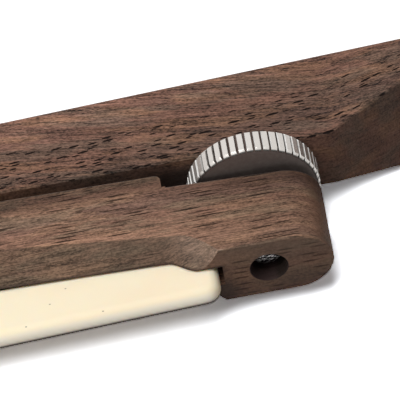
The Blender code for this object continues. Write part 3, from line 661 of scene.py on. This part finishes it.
# A chamfered rod trims the shank, and a six-sided one sinks the socket into the head.
shank_radius, shank_chamfer, head_chamfer = 0.0031, 0.0008, 0.0004
head_radius = (screw_high.x - screw_low.x) / 2
socket_radius, socket_depth = 0.0025 / math.cos(math.pi / 6), 0.003
trim_past = 0.004
trim = rod(48, shank_radius, screw_low.y, head_under + trim_past, shank_chamfer)
carved(shank, trim, "INTERSECT")
head = rod(64, head_radius, head_under, screw_high.y, head_chamfer)
socket = rod(6, socket_radius, screw_high.y - socket_depth, screw_high.y + socket_depth, 0.0)
carved(head, socket, "DIFFERENCE")
pick(shank)
head.select_set(True)
bpy.ops.object.join()
bpy.ops.object.shade_smooth_by_angle(angle=math.radians(32.0))
fitted(shank, "heel_screw", "rear_arm", screw_steel)


# Washers and lock nut: stamped steel washers on both sides of the rear arm's wood, the hexagon
# nut that locks the screw there, and the thin thrust washer between the wheel and the heel.
small_steel, _ = bright_steel("small_steel", 8.0)
blued_steel, _ = bright_steel("blued_steel", 8.0, 0.12)
for node, body, finish in (
    ("heel_screw_washer", "rear_arm", small_steel),
    ("lock_nut_washer", "rear_arm", small_steel),
    ("heel_lock_nut", "rear_arm", small_steel),
    ("heel_washer", "heel_washer", blued_steel),
):
    dressed(node, body, finish, soften=0.00008, keep_angle=40.0)


# Knurled wheel: a flat nut turned from bright steel, with straight ridges rolled into its rim.
# Its faces are painted dark brown as a painted reflection of the wood and painted shade, the valleys dark
# as dirt and painted shade, and one flank of the ridges white as a painted highlight.
wheel_steel, wheel_plated = bright_steel("wheel_steel", 5.0)
land_grey, ridge_painted_white = (0.72, 0.68, 0.64), (1.0, 0.98, 0.95)
grime_and_shade_dark, face_painted_reflection = (0.02, 0.018, 0.016), (0.105, 0.066, 0.053)
beside_x, beside_z, from_axis = wheel_steel.around(to_mm * screw_x, to_mm * screw_z)
outward_x, outward_z = beside_x / from_axis, beside_z / from_axis
wheel_nx, _, wheel_nz = wheel_steel.facing()
ridge_side = outward_z * wheel_nx - outward_x * wheel_nz
flank_painted_highlight = ridge_side.rise(-0.08, -0.25).at_least((wheel_nz - outward_z).rise(0.08, 0.22))
rim_start = 11.52
on_rim = from_axis.rise(rim_start, rim_start + 0.10)
wheel_face = from_axis.rise(rim_start, rim_start - 0.10)
valley_grime_and_shade = from_axis.rise(rim_start + 0.22, rim_start + 0.06)
valley_grime_and_shade = valley_grime_and_shade * from_axis.rise(rim_start - 0.22, rim_start - 0.10)
# Painted highlight on one flank of the ridges, dirt and painted shade in the valleys, and painted
# reflection on the faces.
wheel_plated = wheel_steel.tinted(
    wheel_plated,
    (
        (on_rim * (1 - flank_painted_highlight), land_grey),
        (on_rim * flank_painted_highlight, ridge_painted_white),
        (valley_grime_and_shade * 0.92, grime_and_shade_dark),
        (wheel_face * 0.82, face_painted_reflection),
    ),
)
wheel_steel.shade(
    {
        "Base Color": wheel_plated,
        "Metallic": 0.75 + wheel_face * 0.25 - on_rim * flank_painted_highlight * 0.6,
        "Roughness": 0.26 + wheel_face * 0.30,
    }
)
dressed("thumb_wheel", "thumb_wheel", wheel_steel, soften=0.00014, keep_angle=28.0, sides=3)


# Cam lever: one plate of cream, bone-coloured resin, cut out, drilled and polished all round.
# It turns on the lever pin, and its rounded root is the cam that pushes the jaws together.
cream = Finish(bpy.data.materials.new("cream_resin"))
milk_deep, milk_pale = (0.94, 0.79, 0.59), (0.965, 0.825, 0.625)
roll_painted_reflection, underside_painted_shade, speck_brown = (0.95, 0.86, 0.75), (0.10, 0.075, 0.055), (0.25, 0.18, 0.11)
_, cream_lean, cream_upright = cream.facing()
cloud = cream.noise(cream.place((0.03, 0.08, 0.08)))
speck = cream.cells(cream.place((0.11, 0.16, 0.1)), "2D").rise(0.026, 0.014)
# The front roll of the edge is painted whiter as a painted reflection of the white table, and the lower
# roll dark as painted shade.
milky = cream.tinted(
    cream.mix(cloud.rise(0.3, 0.7), milk_deep, milk_pale),
    (
        (cream_lean.rise(-0.55, -0.95) * 0.8, roll_painted_reflection),
        (cream_lean.rise(-0.30, -0.55) * cream_upright.rise(-0.15, -0.35), underside_painted_shade),
        (speck * cream_upright.rise(0.4, 0.7) * 0.7, speck_brown),
    ),
)
cream.shade(
    {
        "Base Color": milky,
        "Roughness": 0.42 + cloud * 0.08,
        "Specular IOR Level": 0.1,
        "Subsurface Weight": 0.7,
        "Subsurface Radius": (1.0, 0.8, 0.6),
        "Subsurface Scale": 0.002,
    }
)
dressed("cam_lever", "cam_lever", cream, soften=0.0, keep_angle=50.0)


# Links and pins: two punched steel straps tie the lever pin to the anchor pin in the rear arm.
# The lever pin is riveted over outside the links, and the anchor pin is a plain cut rod.
for node, body, soften in (
    ("lever_pin", "lever_pin", 0.0),
    ("link_upper", "rear_arm", 0.00010),
    ("link_lower", "rear_arm", 0.00010),
    ("link_anchor_pin", "rear_arm", 0.0),
):
    dressed(node, body, small_steel, soften, keep_angle=40.0)


# Brass parts: the bush pressed into the lever, the saddle plate let in under the cam, and the
# seat at each end of the spring. They are cut from plain brass that has dulled a little.
brass = Finish(bpy.data.materials.new("dulled_brass"))
brass_dull, brass_clean = (0.50, 0.33, 0.12), (0.74, 0.53, 0.23)
tarnish = brass.noise(brass.place((0.35, 0.35, 0.35)), 4.0, 0.6)
sawn = brass.noise(brass.place((0.6, 7.0, 7.0)), 2.0, 0.6)
brass.shade(
    {
        "Base Color": brass.mix(tarnish.rise(0.35, 0.7), brass_dull, brass_clean),
        "Metallic": 1.0,
        "Roughness": 0.24 + tarnish * 0.16 + sawn * 0.10,
        "Normal": brass.bump(sawn, 0.3, 0.00004),
    }
)
for node, body in (
    ("lever_bush", "cam_lever"),
    ("saddle_plate", "front_arm"),
    ("rear_spring_seat", "rear_arm"),
    ("front_spring_seat", "front_arm"),
):
    dressed(node, body, brass, soften=0.00008, keep_angle=40.0)


# Opening spring: six turns of hard steel wire between the two brass seats. It pushes the arms
# apart when the lever is let go. Its front end stands a little off its seat, which leaves room
# for the seat to come nearer when the wheel closes the jaws.
coil_low, coil_high = [Vector(corner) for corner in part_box("opening_spring")]
closing_room = 0.0003
coil_low.y += closing_room
coil_middle = (coil_low + coil_high) / 2
wire = 0.0004
bpy.ops.object.select_all(action="DESELECT")
bpy.ops.mesh.primitive_circle_add(vertices=14, radius=wire, fill_type="NGON")
coil = bpy.context.object
coil.name = "opening_spring_piece"
bpy.ops.object.mode_set(mode="EDIT")
bpy.ops.mesh.select_all(action="SELECT")
bpy.ops.mesh.delete(type="ONLY_FACE")
bpy.ops.mesh.select_all(action="SELECT")
bpy.ops.transform.translate(value=((coil_high.x - coil_low.x) / 2 - wire, 0.0, 0.0))
bpy.ops.object.mode_set(mode="OBJECT")
turns = coil.modifiers.new("turns", "SCREW")
turns.axis = "Y"
turns.iterations = 6
turns.screw_offset = (coil_high.y - coil_low.y - 2 * wire) / turns.iterations
turns.steps = turns.render_steps = 32
bpy.ops.object.modifier_apply(modifier=turns.name)
bpy.ops.object.mode_set(mode="EDIT")
bpy.ops.mesh.select_all(action="SELECT")
bpy.ops.transform.translate(value=(coil_middle.x, coil_low.y + wire, coil_middle.z))
bpy.ops.mesh.fill_holes(sides=0)
bpy.ops.object.mode_set(mode="OBJECT")
faced_out()
bpy.ops.object.shade_smooth_by_angle(angle=math.radians(50.0))
fitted(coil, "opening_spring", "rear_arm", small_steel)


# Table top: a white sheet under the pony, which throws little light back at it. The camera sees
# it brighter than white in front, where the lamp's shadow falls, and just white behind, so that
# the shadow stays narrow and the sheet fades into the white of the room.
bpy.ops.object.select_all(action="DESELECT")
bpy.ops.mesh.primitive_plane_add(size=6.0, location=(0.0, 0.0, -0.0002))
table = bpy.context.object
table.name = "table_top"
paper = Finish(bpy.data.materials.new("white_paper"), "BsdfDiffuse")
sheet_grey, sheet_white = (0.24, 0.24, 0.24), (1.0, 1.0, 1.0)
glare_in_front, glare_behind = (4.7, 4.8, 5.0), (1.2, 1.2, 1.2)


def light_rays(finish):
    """Whether a ray comes straight from the camera, from a mirror or through glass."""
    kinds = ("Is Camera Ray", "Is Glossy Ray", "Is Transmission Ray")
    return [finish.node("LightPath", {}, {}, kind) for kind in kinds]


seen, mirrored, through = light_rays(paper)
sheet = paper.mix(mirrored.at_least(through), sheet_grey, sheet_white)
glare = paper.mix(paper.spot()[1].rise(20.0, 38.0), glare_in_front, glare_behind)
paper.shade({"Color": paper.mix(seen, sheet, glare)})
table.data.materials.append(paper.holder)


# Light: a white room all round, one broad soft lamp above, in front and to the left, and a weak
# lamp low down at the front and at the back, which stand in for the light of white walls.
room = Finish(bpy.data.worlds.new("white_room"), "Background", "OutputWorld")
bpy.context.scene.world = room.holder
room_glow, room_white = 0.045, 0.9
seen, mirrored, through = light_rays(room)
shown = {"Value": seen.at_least(mirrored).at_least(through), "To Min": room_glow, "To Max": room_white}
room.shade({"Color": (1.0, 1.0, 1.0, 1.0), "Strength": room.node("MapRange", {}, shown)})

for name, width, power, place in (
    ("soft_lamp", 1.1, 14.8, (-0.36, -0.19, 1.02)),
    ("front_fill", 0.9, 1.9, (-0.10, -1.10, 0.16)),
    ("back_fill", 0.9, 2.3, (0.15, 1.05, 0.10)),
):
    lamp_data = bpy.data.lights.new(name, "AREA")
    lamp_data.shape = "DISK"
    lamp_data.size = width
    lamp_data.energy = power
    lamp = bpy.data.objects.new(name, lamp_data)
    bpy.context.scene.collection.objects.link(lamp)
    lamp.location = place
    lamp.visible_camera = False
    lamp.rotation_euler = Vector(place).to_track_quat("Z", "Y").to_euler()
bpy.context.scene.view_settings.view_transform = "Standard"


# Camera: a long lens, high over the heel end and tipped a little, as the photograph was framed.
# The middle of the picture lies a little to the left of the wheel and below it.
right = Vector((0.984, -0.134, -0.118)).normalized()
back = Vector((0.0, -0.660, 0.751)).normalized()
up = back.cross(right).normalized()
wheel_side = Vector((0.0075, 0.0051846, 0.0123))
aim = wheel_side + right * -0.009165 + up * -0.004918
reach = 2.5
frame_width = 0.0726
camera_data = bpy.data.cameras.new("photo_camera")
camera_data.sensor_width = 36.0
camera_data.lens = camera_data.sensor_width * reach / frame_width
camera_data.clip_start = 0.01
camera_data.clip_end = 20.0
camera = bpy.data.objects.new("photo_camera", camera_data)
bpy.context.scene.collection.objects.link(camera)
stand = Matrix((right, up, back)).transposed().to_4x4()
camera.matrix_world = Matrix.Translation(aim + back * reach) @ stand
bpy.context.scene.camera = camera
